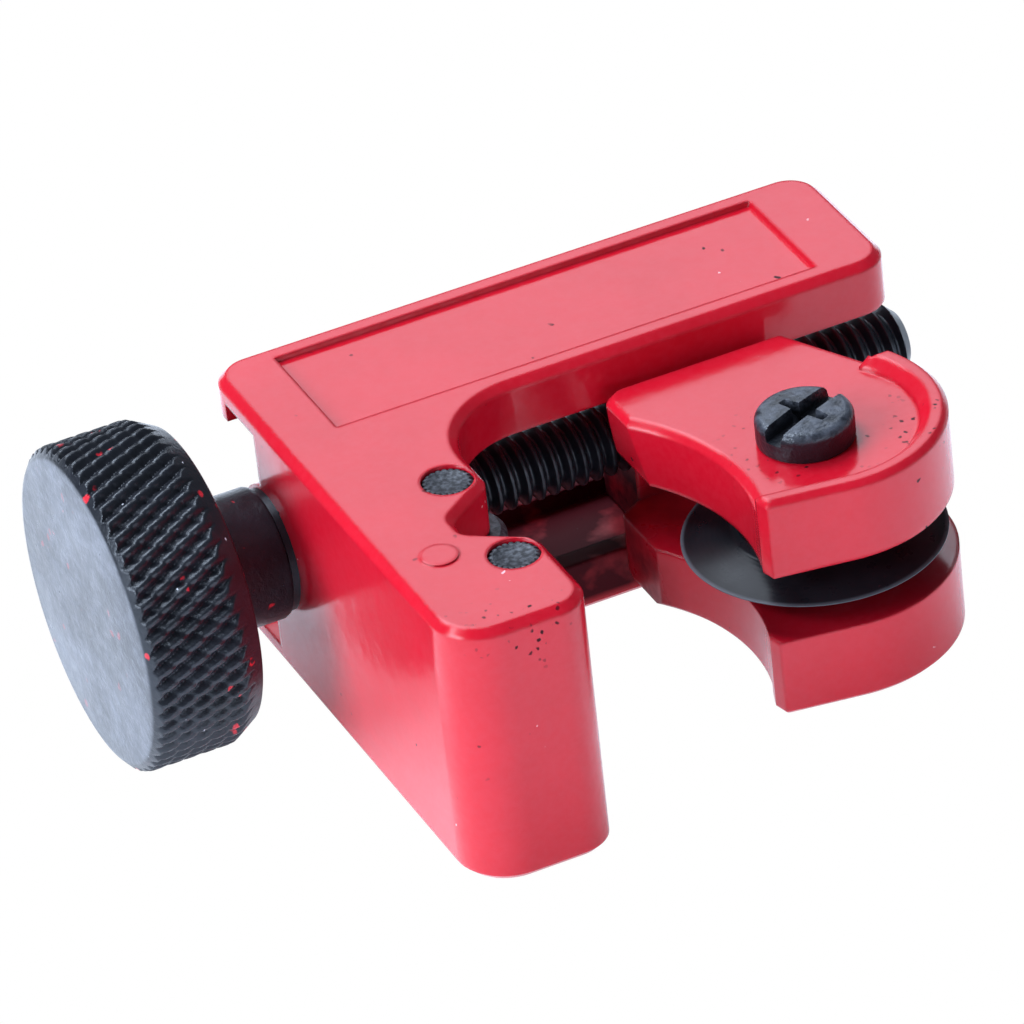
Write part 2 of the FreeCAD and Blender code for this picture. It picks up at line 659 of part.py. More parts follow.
def make_wheel():
    """Cutting wheel: thin disc with a bevelled edge on a hub that fills the slot."""
    hub = "Dims.SlotHalf - Dims.SideGap"
    bevel = "Dims.WheelRadius - Dims.WheelEdge"
    bore = "Dims.AxleRadius + Dims.RunGap"
    profile = [
        (f"-({hub})", bore),
        (f"-({hub})", "Dims.WheelHub"),
        ("-Dims.WheelBevel", "Dims.WheelHub"),
        ("-Dims.WheelBevel", bevel),
        ("-Dims.WheelFlat", "Dims.WheelRadius"),
        ("Dims.WheelFlat", "Dims.WheelRadius"),
        ("Dims.WheelBevel", bevel),
        ("Dims.WheelBevel", "Dims.WheelHub"),
        (hub, "Dims.WheelHub"),
        (hub, bore),
    ]
    return turned("cutting_wheel", "Z", profile, x="Dims.AxleX", y="-Dims.TubeOffset")


def make_axle():
    """Screw that is the wheel's axle: head on the upper ear, tip in the lower ear."""
    top = "Dims.EarFace + Dims.AxleHeadHeight"
    profile = [
        ("-Dims.EarFace + Dims.AxleSink", "0"),
        ("-Dims.EarFace + Dims.AxleSink", "Dims.AxleRadius - Dims.AxleSink"),
        ("-Dims.EarFace + 2*Dims.AxleSink", "Dims.AxleRadius"),
        ("Dims.EarFace", "Dims.AxleRadius"),
        ("Dims.EarFace", "Dims.AxleHead"),
        (f"{top} - Dims.AxleHeadRound", "Dims.AxleHead"),
        (f"{top} - Dims.AxleHeadStep", "Dims.AxleHead - Dims.AxleHeadStep"),
        (top, "Dims.AxleHead - Dims.AxleHeadRound"),
        (top, "0"),
    ]
    return turned("axle_screw", "Z", profile, x="Dims.AxleX", y="-Dims.TubeOffset")


pieces = [make_frame()]
pieces += make_rollers()
pieces += [make_screw(), make_knob(), make_washer(), make_ring()]
pieces += [make_carriage(), make_wheel(), make_axle()]
doc.recompute()

for item in doc.Objects:
    if "Invalid" in item.State or "Error" in item.State:
        raise RuntimeError(f"{item.Name} failed: {item.State}")
os.makedirs("parts", exist_ok=True)
for piece in pieces:
    shape = piece.Shape
    if shape.isNull() or not shape.isValid() or len(shape.Solids) != 1:
        raise RuntimeError(f"{piece.Label} is not one valid solid")
for piece in pieces:
    piece.Shape.exportStep(f"parts/{piece.Label}.step")
    box = piece.Shape.BoundBox
    extent = f"{box.XLength:.2f} x {box.YLength:.2f} x {box.ZLength:.2f}"
    print(f"{piece.Label}: {piece.Shape.Volume:.1f} mm3, {extent}")
whole = Part.makeCompound([piece.Shape for piece in pieces]).BoundBox
print(f"whole: x {whole.XMin:.2f} {whole.XMax:.2f}, y {whole.YMin:.2f} {whole.YMax:.2f}")
print(f"whole: z {whole.ZMin:.2f} {whole.ZMax:.2f}")
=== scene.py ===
# %% [markdown]
# # A small red tube cutter
# The CAD frame brings every rigid piece at its real size and place. This script gives the
# turned pieces their thread, knurls and recess, paints everything, and lights it as in the
# photograph. Lengths are in metres, in the frame that the CAD pieces share.

import math

import bpy
import numpy as np
from mathutils import Matrix, Vector


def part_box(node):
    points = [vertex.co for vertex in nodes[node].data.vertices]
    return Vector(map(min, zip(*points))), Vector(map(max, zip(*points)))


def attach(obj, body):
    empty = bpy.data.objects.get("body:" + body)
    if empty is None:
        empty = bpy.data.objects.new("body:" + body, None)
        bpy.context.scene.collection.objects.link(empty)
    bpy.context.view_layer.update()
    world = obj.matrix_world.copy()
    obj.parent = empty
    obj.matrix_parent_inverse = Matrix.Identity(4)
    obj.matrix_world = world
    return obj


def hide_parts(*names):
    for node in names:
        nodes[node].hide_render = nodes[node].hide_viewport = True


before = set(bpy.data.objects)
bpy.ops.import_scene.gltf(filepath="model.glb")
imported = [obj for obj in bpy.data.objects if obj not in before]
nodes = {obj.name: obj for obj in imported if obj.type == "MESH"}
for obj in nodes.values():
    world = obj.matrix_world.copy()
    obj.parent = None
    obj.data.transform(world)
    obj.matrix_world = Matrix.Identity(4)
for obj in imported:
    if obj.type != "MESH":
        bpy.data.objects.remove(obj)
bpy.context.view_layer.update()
scene = bpy.context.scene
MM = 0.001

# %% [markdown]
# ## Places taken from the frame
# The lead screw's axis runs along X. The knob is round about it and touches the box's lowest
# level, so the knob's box gives the axis. The wheel's axis stands along Z in the middle of the
# wheel's own box. Only the right side of the roller arm isn't the side of any box.

# %% Axes and levels
screw_low, screw_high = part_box("lead_screw")
knob_low, knob_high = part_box("knob")
wheel_low, wheel_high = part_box("cutting_wheel")
axle_low, axle_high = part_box("axle_screw")
body_low, body_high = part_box("frame")
ARM_RIGHT = -7.8 * MM
knob_radius = (knob_high.z - knob_low.z) / 2
screw_axis = Vector((0, knob_high.y - knob_radius, knob_low.z + knob_radius))
wheel_axis = (wheel_low + wheel_high) / 2
print("screw axis at", screw_axis, "wheel axis at", wheel_axis)

# %% [markdown]
# ## Turned pieces
# A lathe makes a round piece from its profile. Here such a piece is a stack of rings. A ring
# has its place along the axis and one radius for each angle, so that the same function makes a
# plain shaft, a thread or a knurl: only the table of radii differs.

# %% Rings round an axis
TURN = 2 * math.pi


def turned_rings(along, radius, axis, centre):
    """Points (ring, angle, xyz) round the X or Z axis: across = radius * (cos a, sin a)."""
    count = radius.shape[1]
    angle = np.arange(count) * TURN / count
    first = radius * np.cos(angle)
    second = radius * np.sin(angle)
    along = np.broadcast_to(along[:, None], radius.shape)
    if axis == "X":
        return np.stack([along, first + centre[1], second + centre[2]], -1)
    return np.stack([first + centre[0], second + centre[1], along], -1)


def plain_rings(profile, angles):
    """Radii (ring, angle) of a profile of (along, radius) rows that is the same all round."""
    return np.repeat(profile[:, 1:], angles, axis=1)


unit_ring = turned_rings(np.zeros(1), np.ones((1, 4)), "Z", (0, 0, 0))
print("a ring of four points:", unit_ring.round(2).tolist())

# %% [markdown]
# ## From rings to a mesh
# Neighbouring rings are joined by quads. A solid piece gets a fan of triangles at either end.
# A piece with a bore is a closed loop instead, whose last ring joins the first. The new piece
# rides on a body of the part's motion and takes the place of its plain CAD node.

# %% Mesh over the rings
SHARP_ANGLE = math.radians(40)


def piece_from_rings(name, rings, body, replaced, closed=False):
    """Mesh over the rings; its ends close with a fan, or the last ring joins the first."""
    count, around = rings.shape[:2]
    start = np.arange(count if closed else count - 1)[:, None] * around
    step = np.arange(around)
    following = (step + 1) % around
    above = (start + around) % (count * around)
    corners = [start + step, start + following, above + following, above + step]
    quads = np.stack(np.broadcast_arrays(*corners), -1).reshape(-1, 4)
    points = rings.reshape(-1, 3)
    faces = quads.tolist()
    if not closed:
        points = np.vstack([points, rings[0].mean(0), rings[-1].mean(0)])
        low, high = len(points) - 2, len(points) - 1
        last = (count - 1) * around
        faces += np.stack([np.full(around, low), following, step], -1).tolist()
        faces += np.stack([np.full(around, high), last + step, last + following], -1).tolist()
    mesh = bpy.data.meshes.new(name)
    mesh.from_pydata(points.tolist(), [], faces)
    mesh.shade_smooth()
    mesh.set_sharp_from_angle(angle=SHARP_ANGLE)
    piece = bpy.data.objects.new(name, mesh)
    scene.collection.objects.link(piece)
    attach(piece, body)
    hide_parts(replaced)
    print(name, len(faces), "faces")
    return piece


# %% [markdown]
# ## Waves and soft steps
# Threads and knurls repeat, so they start from a triangle wave. A cast or filed edge is never
# quite sharp, so a step between two levels gets a smooth flank.

# %% Wave and step helpers


def triangle_wave(t):
    """0 at whole numbers, 1 halfway between them."""
    return 1 - np.abs(2 * (t % 1) - 1)


def smooth(t):
    """S-curve 3 t^2 - 2 t^3 of a value held between 0 and 1."""
    t = np.clip(t, 0, 1)
    return t * t * (3 - 2 * t)


def soft_step(value, edge, width):
    """1 well below edge, 0 well above it, smooth over width."""
    return smooth((edge - value) / width + 0.5)


print("triangle wave at 0, 1/4, 1/2:", triangle_wave(np.array([0, 0.25, 0.5])))

# %% [markdown]
# ## Thread of the lead screw
# The thread is a helix: the height at angle a and place x depends only on x / pitch - a / turn,
# with a in turns. A right-hand thread moves along +X as the angle grows. Crests and roots are
# flattened, and the flanks between them bend a little. Two limits hold the radius down: a cone
# at the tip, and a ramp where the thread rises from the shank.

# %% Thread
PITCH = 1.27 * MM
THREAD_DEPTH = 0.72 * MM
THREAD_START = 18.25 * MM
ROOT_SHARE = 0.14
FLANK_SHARE = 0.66
FLANK_ROUNDING = 0.45
TIP_CHAMFER = 0.9 * MM
SHANK_RADIUS = 3.0 * MM
RUN_OUT_SINK = 0.25 * MM
RUN_OUT_SLOPE = 0.5
RINGS_PER_PITCH = 20
SCREW_ANGLES = 72

screw_radius = (screw_high.z - screw_low.z) / 2
thread_from = screw_low.x + THREAD_START
thread_x = np.arange(thread_from, screw_high.x, PITCH / RINGS_PER_PITCH)
thread_x = np.append(thread_x, screw_high.x)
screw_turns = np.arange(SCREW_ANGLES) / SCREW_ANGLES
wave = triangle_wave(thread_x[:, None] / PITCH - screw_turns[None, :])
flank = np.clip((wave - ROOT_SHARE) / FLANK_SHARE, 0, 1)
ridge = (1 - FLANK_ROUNDING) * flank + FLANK_ROUNDING * smooth(flank)
thread_r = screw_radius - THREAD_DEPTH * (1 - ridge)
tip_limit = screw_radius - TIP_CHAMFER + (screw_high.x - thread_x)
run_out_limit = SHANK_RADIUS - RUN_OUT_SINK + RUN_OUT_SLOPE * (thread_x - thread_from)
thread_r = np.minimum(thread_r, np.minimum(tip_limit, run_out_limit)[:, None])
print("thread turns:", round((screw_high.x - thread_from) / PITCH, 1))

# %% [markdown]
# ## Shank of the lead screw
# Left of the thread the screw is plain where it turns in the wall and where the knob is pressed
# on. A groove in it takes the retaining ring. Its profile goes before the thread's rings, and
# both make one closed piece.

# %% Lead screw
GROOVE_START = 16.25 * MM
GROOVE_WIDTH = 1.0 * MM
GROOVE_RADIUS = 2.45 * MM
NECK_RADIUS = 2.7 * MM
SHANK_CHAMFER = 0.3 * MM

groove_from = screw_low.x + GROOVE_START
shank = np.array([
    (screw_low.x, SHANK_RADIUS - SHANK_CHAMFER),
    (screw_low.x + SHANK_CHAMFER, SHANK_RADIUS),
    (groove_from, SHANK_RADIUS),
    (groove_from, GROOVE_RADIUS),
    (groove_from + GROOVE_WIDTH, GROOVE_RADIUS),
    (groove_from + GROOVE_WIDTH, NECK_RADIUS),
])
screw_x = np.concatenate([shank[:, 0], thread_x])
screw_r = np.vstack([plain_rings(shank, SCREW_ANGLES), thread_r])
screw_rings = turned_rings(screw_x, screw_r, "X", screw_axis)
screw = piece_from_rings("threaded_screw", screw_rings, "screw", "lead_screw")

# %% [markdown]
# ## Knurl of the knob
# The rim carries a diamond knurl, pressed in by two wheels. Two families of grooves cross at the
# same slant, one to each side of the axis. The family whose grooves turn back as they go along
# +X is deep, and the other is faint, so that slanting ridges stand out. The radius never passes
# the two bevels, and there the knurl runs out by itself.

# %% Knurled rim
FRONT_BEVEL = 0.7 * MM
REAR_BEVEL = 2.1 * MM
FACE_RADIUS = 12.6 * MM
REAR_RADIUS = 12.3 * MM
HUB_LENGTH = 5.85 * MM
KNURL_RIDGES = 58
KNURL_SLANT = math.radians(27)
KNURL_DEPTH = 0.48 * MM
KNURL_CROSS_DEPTH = 0.14 * MM
GROOVE_SHARE = 0.75
CROSS_SHARE = 0.6
KNURL_STEP = 0.1 * MM
KNOB_ANGLES = KNURL_RIDGES * 12


def groove(wave, share):
    """1 at the wave's foot, falling to 0 where the wave reaches share."""
    return 1 - np.clip(wave / share, 0, 1)


front_x, hub_x = knob_low.x, knob_high.x
rear_x = hub_x - HUB_LENGTH
knurl_x = np.arange(front_x + KNURL_STEP, rear_x - KNURL_STEP, KNURL_STEP)
front_slope = (knob_radius - FACE_RADIUS) / FRONT_BEVEL
rear_slope = (knob_radius - REAR_RADIUS) / REAR_BEVEL
front_limit = FACE_RADIUS + (knurl_x - front_x) * front_slope
rear_limit = REAR_RADIUS + (rear_x - knurl_x) * rear_slope
bevel_limit = np.minimum(front_limit, rear_limit)[:, None]
ridge_turns = (KNURL_RIDGES * np.arange(KNOB_ANGLES) / KNOB_ANGLES)[None, :]
slide = (knurl_x - front_x) * math.tan(KNURL_SLANT) * KNURL_RIDGES / (TURN * knob_radius)
slide = slide[:, None]
deep_cut = KNURL_DEPTH * groove(triangle_wave(ridge_turns + slide), GROOVE_SHARE)
cross_cut = KNURL_CROSS_DEPTH * groove(triangle_wave(ridge_turns - slide), CROSS_SHARE)
knurl_r = np.minimum(knob_radius - (deep_cut + cross_cut), bevel_limit)
print("knurl rings:", len(knurl_x), "ridges:", KNURL_RIDGES)

# %% [markdown]
# ## Face and hub of the knob
# A flat turned face closes the knob at its left, and a hub with a rounded end leads to the
# frame. Both are plain profiles on either side of the knurl. The small first ring and the one
# half way out only keep the face's triangles from growing thin.

# %% Knob
FACE_CENTRE = 0.4 * MM
FACE_MIDDLE = 6 * MM
REAR_MIDDLE = 9 * MM
RIM_ROUND = 0.25 * MM
RIM_BEND = 0.05 * MM
REAR_BEND_X = 0.06 * MM
REAR_BEND_R = 0.08 * MM
HUB_RADIUS = 5.5 * MM
HUB_FILLET = 0.3 * MM
HUB_FILLET_BEND = 0.1 * MM
HUB_ROUND = 0.4 * MM
HUB_ROUND_BEND_X = 0.1 * MM
HUB_ROUND_BEND_R = 0.12 * MM
HUB_BORE = 3.05 * MM

face_profile = np.array([
    (front_x, FACE_CENTRE),
    (front_x, FACE_MIDDLE),
    (front_x, FACE_RADIUS - RIM_ROUND),
    (front_x + RIM_BEND, FACE_RADIUS - RIM_BEND),
])
hub_profile = np.array([
    (rear_x - REAR_BEND_X, REAR_RADIUS - REAR_BEND_R),
    (rear_x, REAR_RADIUS - RIM_ROUND),
    (rear_x, REAR_MIDDLE),
    (rear_x, HUB_RADIUS + HUB_FILLET),
    (rear_x + HUB_FILLET_BEND, HUB_RADIUS + HUB_FILLET_BEND),
    (rear_x + HUB_FILLET, HUB_RADIUS),
    (hub_x - HUB_ROUND, HUB_RADIUS),
    (hub_x - HUB_ROUND_BEND_X, HUB_RADIUS - HUB_ROUND_BEND_R),
    (hub_x, HUB_RADIUS - HUB_ROUND),
    (hub_x, HUB_BORE),
])
knob_x = np.concatenate([face_profile[:, 0], knurl_x, hub_profile[:, 0]])
face_r = plain_rings(face_profile, KNOB_ANGLES)
hub_r = plain_rings(hub_profile, KNOB_ANGLES)
knob_rings = turned_rings(knob_x, np.vstack([face_r, knurl_r, hub_r]), "X", screw_axis)
knob = piece_from_rings("knurled_knob", knob_rings, "screw", "knob")

# %% [markdown]
# ## Roller pins
# The ends of the pins are knurled straight, and the knurl bites into the plates. Its teeth
# leave the small dark gaps that ring each pin. One half of the profile is written down, and the
# other end mirrors it.

# %% Pins with knurled ends
PIN_TEETH = 22
PIN_TOOTH = 0.26 * MM
PIN_TOOTH_SHARE = 0.6
PIN_KNURL = 4.2 * MM
PIN_WAIST = 0.06 * MM
PIN_WAIST_RAMP = 0.2 * MM
PIN_FACE = 0.42 * MM
PIN_SHOULDER = 0.2 * MM
PIN_FALL = 0.03 * MM
PIN_BEND = 0.16 * MM
PIN_ROUND = 0.3 * MM
PIN_DISH = 0.05 * MM
PIN_DISH_EDGE = 0.08 * MM
PIN_ANGLES = PIN_TEETH * 12


def knurled_pin(name, node):
    """Pin along Z: radius(profile) less the tooth depth at both of its knurled ends."""
    low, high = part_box(node)
    centre = (low + high) / 2
    radius = (high.x - low.x) / 2
    half = np.array([
        (PIN_DISH, radius - PIN_FACE - PIN_DISH_EDGE),
        (0.0, radius - PIN_FACE),
        (PIN_FALL, radius - PIN_SHOULDER),
        (PIN_BEND, radius - PIN_FALL),
        (PIN_ROUND, radius),
        (PIN_KNURL, radius),
        (PIN_KNURL + PIN_WAIST_RAMP, radius - PIN_WAIST),
    ])
    bottom = np.stack([low.z + half[:, 0], half[:, 1]], -1)
    top = np.stack([high.z - half[::-1, 0], half[::-1, 1]], -1)
    profile = np.vstack([bottom, top])
    grow = [radius - PIN_FACE, radius - PIN_SHOULDER]
    depth = np.interp(profile[:, 1], grow, [0, PIN_TOOTH])
    depth[len(half) - 1:-len(half) + 1] = 0
    tooth = triangle_wave(PIN_TEETH * np.arange(PIN_ANGLES) / PIN_ANGLES)
    pin_r = profile[:, 1:] - depth[:, None] * groove(tooth, PIN_TOOTH_SHARE)
    pin_rings = turned_rings(profile[:, 0], pin_r, "Z", centre)
    return piece_from_rings(name, pin_rings, "body", node)


inner_pin = knurled_pin("inner_knurled_pin", "inner_roller_pin")
outer_pin = knurled_pin("outer_knurled_pin", "outer_roller_pin")

# %% [markdown]
# ## Profile of the axle screw
# A plain stem carries a cheese head with a rounded edge and a slightly domed top. The top has
# many rings, because the recess is pressed into it next and needs points to bend.

# %% Axle screw, plain
HEAD_HEIGHT = 2.7 * MM
HEAD_ROUND = 0.75 * MM
HEAD_DOME = 0.12 * MM
FOOT_CHAMFER = 0.2 * MM
FOOT_BEND_Z = 0.15 * MM
FOOT_BEND_R = 0.03 * MM
FOOT_HEIGHT = 0.4 * MM
SIDE_START = 0.6 * MM
AXLE_RADIUS = 2.5 * MM
AXLE_CHAMFER = 0.3 * MM
TOP_CENTRE = 0.03 * MM
SIDE_RINGS = 10
EDGE_RINGS = 14
TOP_RINGS = 90
AXLE_ANGLES = 240

head_radius = (axle_high.x - axle_low.x) / 2
ear_top = axle_high.z - HEAD_HEIGHT
stem = np.array([
    (axle_low.z, AXLE_RADIUS - AXLE_CHAMFER),
    (axle_low.z + AXLE_CHAMFER, AXLE_RADIUS),
    (ear_top, AXLE_RADIUS),
    (ear_top, head_radius - FOOT_CHAMFER),
    (ear_top + FOOT_BEND_Z, head_radius - FOOT_BEND_R),
    (ear_top + FOOT_HEIGHT, head_radius),
])
side_end = axle_high.z - HEAD_ROUND - HEAD_DOME
side_z = np.linspace(ear_top + SIDE_START, side_end, SIDE_RINGS)
side = np.stack([side_z, np.full(SIDE_RINGS, head_radius)], -1)
bend = np.linspace(0, math.pi / 2, EDGE_RINGS)
edge_z = axle_high.z - HEAD_DOME - HEAD_ROUND * (1 - np.sin(bend))
edge = np.stack([edge_z, head_radius - HEAD_ROUND * (1 - np.cos(bend))], -1)
top_radius = head_radius - HEAD_ROUND
top_r = np.linspace(top_radius - TOP_CENTRE, TOP_CENTRE, TOP_RINGS)
dome = axle_high.z - HEAD_DOME * (top_r / top_radius) ** 2
axle_profile = np.vstack([stem, side, edge, np.stack([dome, top_r], -1)])
axle_r = plain_rings(axle_profile, AXLE_ANGLES)
axle_rings = turned_rings(axle_profile[:, 0], axle_r, "Z", wheel_axis)
print("axle screw rings:", len(axle_profile))

# %% [markdown]
# ## Recess of the axle screw
# The head takes a flat driver and a crossed one: a wide slot, and the arms of a cross in its
# middle. Each is a depth below the top, as a function of the place along and across the slot,
# and the deeper of the two counts. Points of the head that stand above that floor are lowered
# to it.

# %% Axle screw with its recess
SLOT_ANGLE = math.radians(24)
SLOT_HALF = 0.8 * MM
SLOT_DEPTH = 1.25 * MM
CROSS_REACH = 2.1 * MM
CROSS_HALF = 0.5 * MM
CROSS_TAPER = 0.3
CROSS_DEPTH = 1.7 * MM
CROSS_SINK = 1.35
RECESS_SOFT = 0.12 * MM
CROSS_END_SOFT = 0.5 * MM

off_x = axle_rings[..., 0] - wheel_axis.x
off_y = axle_rings[..., 1] - wheel_axis.y
lengthwise = np.abs(off_x * math.cos(SLOT_ANGLE) + off_y * math.sin(SLOT_ANGLE))
crosswise = np.abs(off_y * math.cos(SLOT_ANGLE) - off_x * math.sin(SLOT_ANGLE))
slot_depth = SLOT_DEPTH * soft_step(crosswise, SLOT_HALF, RECESS_SOFT)
reach_share = crosswise / CROSS_REACH
arm_width = soft_step(lengthwise, CROSS_HALF * (1 - CROSS_TAPER * reach_share), RECESS_SOFT)
arm_slope = np.clip(CROSS_SINK - reach_share, 0, 1)
arm_depth = CROSS_DEPTH * arm_width * arm_slope * soft_step(crosswise, CROSS_REACH, CROSS_END_SOFT)
recess_floor = axle_high.z - np.maximum(slot_depth, arm_depth)
head_rows = slice(len(stem), None)
axle_rings[head_rows, :, 2] = np.minimum(axle_rings[head_rows, :, 2], recess_floor[head_rows])
axle = piece_from_rings("slotted_axle", axle_rings, "slider", "axle_screw")

# %% [markdown]
# ## Cutting wheel
# A thin disc with a ground bevel stands on a stepped hub, with a bore for the axle. Half of
# the profile is written down from the bore to the edge, as heights above the middle plane, and
# mirrored below it. The two halves make one closed loop, so the piece has its bore.

# %% Cutting wheel
WHEEL_ANGLES = 192
WHEEL_BORE = 2.55 * MM
BORE_CHAMFER = 0.12 * MM
HUB_FACE = 3.9 * MM
HUB_STEP = 0.25 * MM
HUB_STEP_SLOPE = 0.1 * MM
HUB_EDGE = 5.2 * MM
HUB_EDGE_DROP = 0.55 * MM
HUB_EDGE_SLOPE = 0.15 * MM
HUB_FOOT_DROP = 1.1 * MM
HUB_FOOT_SLOPE = 0.3 * MM
LAND_DROP = 1.25 * MM
LAND_WIDTH = 1.0 * MM
DISC_START = 6.75 * MM
DISC_FILLET_Z = 0.15 * MM
DISC_FILLET_R = 0.25 * MM
DISC_ROOT = 0.9 * MM
DISC_RIM = 0.5 * MM
BEVEL_WIDTH = 1.55 * MM
BEVEL_RIM = 0.42 * MM
BEVEL_BEND = 0.15 * MM
CUTTING_EDGE = 0.03 * MM

wheel_radius = (wheel_high.x - wheel_low.x) / 2
hub_half = (wheel_high.z - wheel_low.z) / 2
upper = np.array([
    (hub_half - BORE_CHAMFER, WHEEL_BORE),
    (hub_half, WHEEL_BORE + BORE_CHAMFER),
    (hub_half, HUB_FACE),
    (hub_half - HUB_STEP, HUB_FACE + HUB_STEP_SLOPE),
    (hub_half - HUB_STEP, HUB_EDGE),
    (hub_half - HUB_EDGE_DROP, HUB_EDGE + HUB_EDGE_SLOPE),
    (hub_half - HUB_FOOT_DROP, HUB_EDGE + HUB_FOOT_SLOPE),
    (hub_half - LAND_DROP, HUB_EDGE + LAND_WIDTH),
    (DISC_ROOT + DISC_FILLET_Z, DISC_START - DISC_FILLET_R),
    (DISC_ROOT, DISC_START),
    (DISC_RIM, wheel_radius - BEVEL_WIDTH - BEVEL_BEND),
    (BEVEL_RIM, wheel_radius - BEVEL_WIDTH),
    (CUTTING_EDGE, wheel_radius),
])
wheel_profile = np.vstack([upper * [-1, 1], upper[::-1]])
wheel_r = plain_rings(wheel_profile, WHEEL_ANGLES)
wheel_rings = turned_rings(wheel_profile[:, 0] + wheel_axis.z, wheel_r, "Z", wheel_axis)
wheel = piece_from_rings(
    "ground_wheel", wheel_rings, "wheel", "cutting_wheel", closed=True
)

# %% [markdown]
# ## Building a material from nodes
# Blender's materials are graphs of small nodes. This first class holds a graph and the sums
# that every finish needs: a ramp, a product, a blend of two colours. Each takes a plain number
# or another node's output, so that they can be nested like ordinary sums.

# %% Node sums


class NodeGraph:
    """Principled material with helpers that add one node each."""

    def __init__(self, name):
        self.material = bpy.data.materials.new(name)
        self.material.use_nodes = True
        self.tree = self.material.node_tree
        self.shader = self.tree.nodes["Principled BSDF"]
        self.place = self.tree.nodes.new("ShaderNodeTexCoord").outputs["Object"]

    def put(self, socket, value):
        """Link an output to a socket, or set the socket; a colour of three gets its alpha."""
        if isinstance(value, bpy.types.NodeSocket):
            self.tree.links.new(value, socket)
        elif socket.type == "RGBA":
            socket.default_value = (*value[:3], 1)
        else:
            socket.default_value = value

    def node(self, kind, inputs=(), **settings):
        """New node with its settings and inputs, each a number or an output."""
        made = self.tree.nodes.new(kind)
        for key, value in settings.items():
            setattr(made, key, value)
        for key, value in dict(inputs).items():
            self.put(made.inputs[key], value)
        return made

    def math(self, operation, a, b=0.0):
        """One sum on two values."""
        return self.node("ShaderNodeMath", {0: a, 1: b}, operation=operation).outputs[0]

    def product(self, *shares):
        """Product of several values."""
        made = shares[0]
        for share in shares[1:]:
            made = self.math("MULTIPLY", made, share)
        return made

    def ramp(self, value, low, high):
        """Straight ramp from 0 at low to 1 at high, held at its ends."""
        inputs = {"Value": value, "From Min": low, "From Max": high}
        return self.node("ShaderNodeMapRange", inputs).outputs[0]

    def blend(self, share, first, second):
        """Colour that goes from first to second as share goes from 0 to 1."""
        inputs = {0: share, 6: first, 7: second}
        return self.node("ShaderNodeMix", inputs, data_type="RGBA").outputs[2]

    def finish(self, **sockets):
        """Link or set sockets of the shader, whose names have _ for their spaces."""
        for key, value in sockets.items():
            self.put(self.shader.inputs[key.replace("_", " ")], value)


print("sums:", [name for name in vars(NodeGraph) if not name.startswith("_")])

# %% [markdown]
# ## Patterns
# Every pattern reads object coordinates, which are metres in the shared frame. A scale of 1000
# therefore gives features of about a millimetre, and a pattern stays on its piece when the
# piece moves. Specks are round Voronoi cells whose place is shaken by noise, so that no two
# have the same outline. The relief can also round the edges: a Bevel node averages the normals
# near an edge, as thick paint does.

# %% Patterns in space
SPECK_SHAKE = 0.6
SHAKE_SCALE = 1.7
SPECK_EDGE = 0.7
BEVEL_SAMPLES = 6


class Recipe(NodeGraph):
    """Material that grows by small patterns."""

    def noise(self, scale, detail=3.0, rough=0.55, stretch=None):
        """Noise between 0 and 1 with features of 1 / scale metres."""
        place = self.place
        if stretch:
            mapping = {"Vector": place, "Scale": stretch}
            place = self.node("ShaderNodeMapping", mapping).outputs[0]
        inputs = {"Vector": place, "Scale": scale, "Detail": detail, "Roughness": rough}
        return self.node("ShaderNodeTexNoise", inputs).outputs["Fac"]

    def specks(self, scale, size):
        """1 inside small spots, one in each shaken Voronoi cell, 0 elsewhere."""
        shaking = {"Vector": self.place, "Scale": scale * SHAKE_SCALE, "Detail": 2.0}
        shake = self.node("ShaderNodeTexNoise", shaking).outputs["Color"]
        moved = {0: shake, 1: (SPECK_SHAKE / scale,) * 3, 2: self.place}
        moved = self.node("ShaderNodeVectorMath", moved, operation="MULTIPLY_ADD").outputs[0]
        cells = self.node("ShaderNodeTexVoronoi", {"Vector": moved, "Scale": scale})
        return self.ramp(cells.outputs["Distance"], size, size * SPECK_EDGE)

    def axis(self, letter):
        """Object coordinate along one axis, in metres."""
        return self.node("ShaderNodeSeparateXYZ", {0: self.place}).outputs[letter]

    def distance(self, centre):
        """Distance to a point, in metres."""
        points = {0: self.place, 1: tuple(centre)}
        return self.node("ShaderNodeVectorMath", points, operation="DISTANCE").outputs["Value"]

    def around(self, centre, near, far):
        """1 nearer than near to a point, 0 beyond far."""
        return self.ramp(self.distance(centre), far, near)

    def roughness(self, scale, spread, least):
        """Roughness that wanders by noise from least to least + spread."""
        wander = self.math("MULTIPLY", self.noise(scale), spread)
        return self.math("ADD", wander, least)

    def relief(self, height, depth, soft_edges=0.0):
        """Bump of the given depth in metres from a 0 to 1 height, over softened edges."""
        inputs = {"Height": height, "Distance": depth, "Strength": 1.0}
        if soft_edges:
            bevel = self.node("ShaderNodeBevel", {"Radius": soft_edges}, samples=BEVEL_SAMPLES)
            inputs["Normal"] = bevel.outputs[0]
        self.finish(Normal=self.node("ShaderNodeBump", inputs).outputs[0])


def paint(recipe, *pieces):
    """Give pieces one material."""
    for piece in pieces:
        piece.data.materials.clear()
        piece.data.materials.append(recipe.material)
    print(recipe.material.name, "on", [piece.name for piece in pieces])


print("patterns:", [name for name in vars(Recipe) if not name.startswith("_")])

# %% [markdown]
# ## Red enamel: colour
# The castings have a thick glossy red coat. Its colour drifts a little over the piece and is
# paler in fine grains. Where tools and tubes knock it, at the arm's near edge and round the
# axle's head, it has dark chips. Loose dark and pale specks lie all over.

